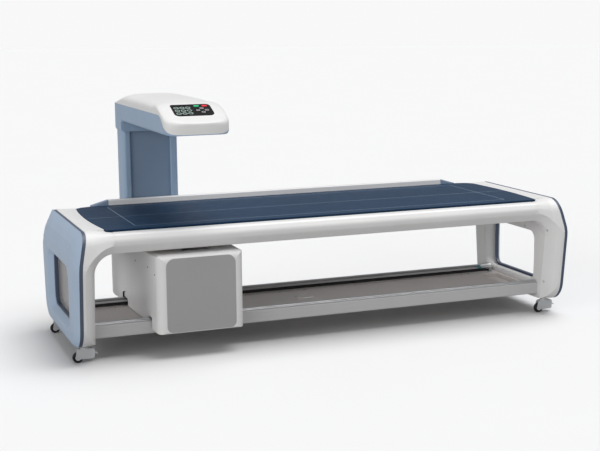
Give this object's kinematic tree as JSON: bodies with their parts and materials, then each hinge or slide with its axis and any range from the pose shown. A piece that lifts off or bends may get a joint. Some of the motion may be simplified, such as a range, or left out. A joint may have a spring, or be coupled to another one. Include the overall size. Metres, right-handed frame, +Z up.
{
  "type": "bone densitometer",
  "caption": "Whole-body bone densitometer: a padded scanning table on castors with a C-shaped gantry that travels along it, source box below and detector arm above.",
  "frame": {"origin": "on the floor, under the middle of the whole machine's bounding box", "axes": "+X along the table from the head end to the foot end, +Y from the open side of the gantry to its column, +Z up"},
  "size_m": [2.594, 1.085, 1.1954],
  "materials": {
    "off_white_moulding": "satin moulded plastic",
    "slate_strip": "satin moulded plastic",
    "blue_cap": "satin moulded plastic",
    "white_rail": "satin powder coat",
    "blue_wing": "satin moulded plastic",
    "board": "plain laminate",
    "navy_vinyl": "fine-grained vinyl",
    "beam_paint": "satin powder coat",
    "deck_paint": "matte paint",
    "ground_steel": "ground and oiled",
    "black_motor": "matte black enamel",
    "zinc_plate": "zinc plated",
    "belt_rubber": "moulded belt",
    "black_plastic": "moulded plastic",
    "pulley_alloy": "turned",
    "castor_grey": "moulded nylon",
    "wheel_black": "moulded tread",
    "plate_steel": "painted steel plate",
    "panel_grey": "fine-textured plastic",
    "dark_window": "smooth sheet",
    "tank_metal": "cast and machined",
    "lead_brass": "machined",
    "light_blue": "satin moulded plastic",
    "slate_blue": "satin moulded plastic",
    "detector_case": "black anodised",
    "panel_black": "glossy film",
    "key_green": "lit key",
    "key_red": "lit key",
    "key_dark": "key with a grey outline"
  },
  "bodies": {
    "table": {"head_end_frame": "off_white_moulding", "foot_end_frame": "off_white_moulding", "head_end_plate": "slate_strip", "foot_end_plate": "slate_strip", "head_end_cap": "blue_cap", "foot_end_cap": "blue_cap", "front_side_rail": "white_rail", "rear_side_rail": "white_rail", "rear_guard_rail": "white_rail", "guard_wings": "blue_wing", "table_board": "board", "mattress": "navy_vinyl", "front_beam": "beam_paint", "rear_beam": "beam_paint", "lower_deck": "deck_paint", "guide_rails": "ground_steel", "drive_motor": "black_motor", "pulley_brackets": "zinc_plate", "timing_belt": "belt_rubber", "table_screws": "zinc_plate", "limit_switches": "black_plastic", "mains_inlet": "black_plastic"},
    "drive_pulley": {"drive_pulley": "pulley_alloy"},
    "idler_pulley": {"idler_pulley": "pulley_alloy"},
    "gantry": {"carriage_plate": "plate_steel", "bearing_blocks": "zinc_plate", "source_box": "off_white_moulding", "front_panel": "panel_grey", "scan_window": "dark_window", "source_rails": "ground_steel", "column_core": "zinc_plate", "column_base_cover": "off_white_moulding", "column_edge_profiles": "light_blue", "column_front_panel": "slate_blue", "column_rear_cover": "light_blue", "arm_lower_shell": "light_blue", "arm_top_cover": "off_white_moulding", "detector_rail": "zinc_plate", "control_panel": "panel_black"},
    "source": {"xray_tank": "tank_metal", "collimator": "lead_brass"},
    "detector": {"detector": "detector_case"},
    "castor_head_front": {"castor_fork_head_front": "castor_grey"},
    "wheel_head_front": {"castor_wheel_head_front": "wheel_black"},
    "pedal_head_front": {"brake_pedal_head_front": "castor_grey"},
    "castor_head_rear": {"castor_fork_head_rear": "castor_grey"},
    "wheel_head_rear": {"castor_wheel_head_rear": "wheel_black"},
    "pedal_head_rear": {"brake_pedal_head_rear": "castor_grey"},
    "castor_foot_front": {"castor_fork_foot_front": "castor_grey"},
    "wheel_foot_front": {"castor_wheel_foot_front": "wheel_black"},
    "pedal_foot_front": {"brake_pedal_foot_front": "castor_grey"},
    "castor_foot_rear": {"castor_fork_foot_rear": "castor_grey"},
    "wheel_foot_rear": {"castor_wheel_foot_rear": "wheel_black"},
    "pedal_foot_rear": {"brake_pedal_foot_rear": "castor_grey"},
    "start_key": {"start_key": "key_green"},
    "stop_key": {"stop_key": "key_red"},
    "arrow_key_left": {"arrow_key_left": "key_dark"},
    "arrow_key_right": {"arrow_key_right": "key_dark"},
    "arrow_key_rear": {"arrow_key_rear": "key_dark"},
    "arrow_key_front": {"arrow_key_front": "key_dark"}
  },
  "joints": [
    {"name": "gantry_travel", "type": "slide", "parent": "table", "child": "gantry", "axis": [1, 0, 0], "range_m": [-0.221, 1.629]},
    {"name": "drive_pulley_spin", "type": "hinge", "parent": "table", "child": "drive_pulley", "pos_m": [1.148, 0.0565, 0.156], "axis": [0, 0, 1], "continuous": true},
    {"name": "idler_pulley_spin", "type": "hinge", "parent": "table", "child": "idler_pulley", "pos_m": [-1.148, 0.0565, 0.156], "axis": [0, 0, 1], "continuous": true},
    {"name": "source_travel", "type": "slide", "parent": "gantry", "child": "source", "axis": [0, 1, 0], "range_m": [-0.28, 0.28]},
    {"name": "detector_travel", "type": "slide", "parent": "gantry", "child": "detector", "axis": [0, 1, 0], "range_m": [-0.28, 0.28]},
    {"name": "swivel_head_front", "type": "hinge", "parent": "table", "child": "castor_head_front", "pos_m": [-1.236, -0.3755, 0.07], "axis": [0, 0, 1], "continuous": true},
    {"name": "roll_head_front", "type": "hinge", "parent": "castor_head_front", "child": "wheel_head_front", "pos_m": [-1.268, -0.3755, 0.025], "axis": [0, 1, 0], "continuous": true},
    {"name": "brake_head_front", "type": "hinge", "parent": "castor_head_front", "child": "pedal_head_front", "pos_m": [-1.214, -0.3755, 0.045], "axis": [0, 1, 0], "range_deg": [0, 20]},
    {"name": "swivel_head_rear", "type": "hinge", "parent": "table", "child": "castor_head_rear", "pos_m": [-1.236, 0.2105, 0.07], "axis": [0, 0, 1], "continuous": true},
    {"name": "roll_head_rear", "type": "hinge", "parent": "castor_head_rear", "child": "wheel_head_rear", "pos_m": [-1.268, 0.2105, 0.025], "axis": [0, 1, 0], "continuous": true},
    {"name": "brake_head_rear", "type": "hinge", "parent": "castor_head_rear", "child": "pedal_head_rear", "pos_m": [-1.214, 0.2105, 0.045], "axis": [0, 1, 0], "range_deg": [0, 20]},
    {"name": "swivel_foot_front", "type": "hinge", "parent": "table", "child": "castor_foot_front", "pos_m": [1.236, -0.3755, 0.07], "axis": [0, 0, 1], "continuous": true},
    {"name": "roll_foot_front", "type": "hinge", "parent": "castor_foot_front", "child": "wheel_foot_front", "pos_m": [1.204, -0.3755, 0.025], "axis": [0, 1, 0], "continuous": true},
    {"name": "brake_foot_front", "type": "hinge", "parent": "castor_foot_front", "child": "pedal_foot_front", "pos_m": [1.258, -0.3755, 0.045], "axis": [0, 1, 0], "range_deg": [0, 20]},
    {"name": "swivel_foot_rear", "type": "hinge", "parent": "table", "child": "castor_foot_rear", "pos_m": [1.236, 0.2105, 0.07], "axis": [0, 0, 1], "continuous": true},
    {"name": "roll_foot_rear", "type": "hinge", "parent": "castor_foot_rear", "child": "wheel_foot_rear", "pos_m": [1.204, 0.2105, 0.025], "axis": [0, 1, 0], "continuous": true},
    {"name": "brake_foot_rear", "type": "hinge", "parent": "castor_foot_rear", "child": "pedal_foot_rear", "pos_m": [1.258, 0.2105, 0.045], "axis": [0, 1, 0], "range_deg": [0, 20]},
    {"name": "start_key_press", "type": "slide", "parent": "gantry", "child": "start_key", "axis": [0, 0.3923, -0.9198], "range_m": [0, 0.001], "stiffness_N_per_m": 500},
    {"name": "stop_key_press", "type": "slide", "parent": "gantry", "child": "stop_key", "axis": [0, 0.3923, -0.9198], "range_m": [0, 0.001], "stiffness_N_per_m": 500},
    {"name": "arrow_key_left_press", "type": "slide", "parent": "gantry", "child": "arrow_key_left", "axis": [0, 0.3923, -0.9198], "range_m": [0, 0.001], "stiffness_N_per_m": 500},
    {"name": "arrow_key_right_press", "type": "slide", "parent": "gantry", "child": "arrow_key_right", "axis": [0, 0.3923, -0.9198], "range_m": [0, 0.001], "stiffness_N_per_m": 500},
    {"name": "arrow_key_rear_press", "type": "slide", "parent": "gantry", "child": "arrow_key_rear", "axis": [0, 0.3923, -0.9198], "range_m": [0, 0.001], "stiffness_N_per_m": 500},
    {"name": "arrow_key_front_press", "type": "slide", "parent": "gantry", "child": "arrow_key_front", "axis": [0, 0.3923, -0.9198], "range_m": [0, 0.001], "stiffness_N_per_m": 500}
  ],
  "couplings": [
    {"joint": "drive_pulley_spin", "follows": "gantry_travel", "rad_per_m": 83.333},
    {"joint": "idler_pulley_spin", "follows": "gantry_travel", "rad_per_m": 83.333},
    {"joint": "detector_travel", "follows": "source_travel", "ratio": 1}
  ]
}
